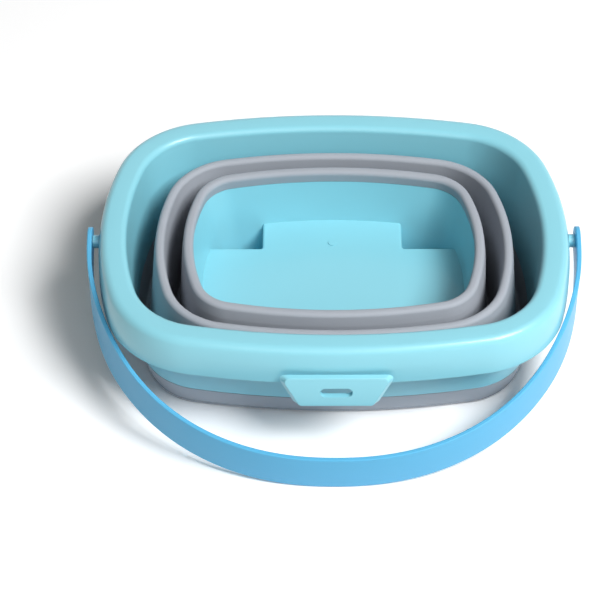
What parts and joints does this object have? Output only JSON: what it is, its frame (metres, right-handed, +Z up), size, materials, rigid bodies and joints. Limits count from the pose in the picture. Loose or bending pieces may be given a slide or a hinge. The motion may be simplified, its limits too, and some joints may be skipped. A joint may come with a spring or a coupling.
{
  "type": "collapsible camp bucket",
  "caption": "Rounded rectangular bucket that folds flat: rigid rim with a slotted tab, soft stepped wall, rigid tray with a raised floor, and a swinging strap handle.",
  "frame": {"origin": "centre of the tray's underside at floor level, on the bucket's vertical axis", "axes": "+Z up out of the bucket's mouth; -Y towards the slotted tab, where the strap lies when folded down; X along the handle's pivot line"},
  "size_m": [0.318, 0.269, 0.082],
  "materials": {
    "turquoise_plastic": "smooth semi-gloss moulded polypropylene, pale turquoise",
    "grey_rubber": "satin thermoplastic elastomer, light cool grey",
    "blue_plastic": "satin moulded polypropylene, light blue"
  },
  "bodies": {
    "tray": {"base_tray": "turquoise_plastic", "tray_collar": "grey_rubber", "inner_fold": "grey_rubber"},
    "band": {"middle_band": "grey_rubber", "outer_fold": "grey_rubber"},
    "rim": {"rim_frame": "turquoise_plastic", "rim_hem": "grey_rubber", "pivot_pin_left": "turquoise_plastic", "pivot_pin_right": "turquoise_plastic"},
    "handle": {"handle_strap": "blue_plastic"}
  },
  "joints": [
    {"name": "band_lift", "type": "slide", "parent": "tray", "child": "band", "axis": [0, 0, 1], "range_m": [0, 0.112], "deforming": ["inner_fold"]},
    {"name": "rim_lift", "type": "slide", "parent": "band", "child": "rim", "axis": [0, 0, 1], "range_m": [0, 0.106], "deforming": ["outer_fold"]},
    {"name": "handle_swing", "type": "hinge", "parent": "rim", "child": "handle", "pos_m": [0, 0, 0.067], "axis": [-1, 0, 0], "range_deg": [-30, 245]}
  ]
}
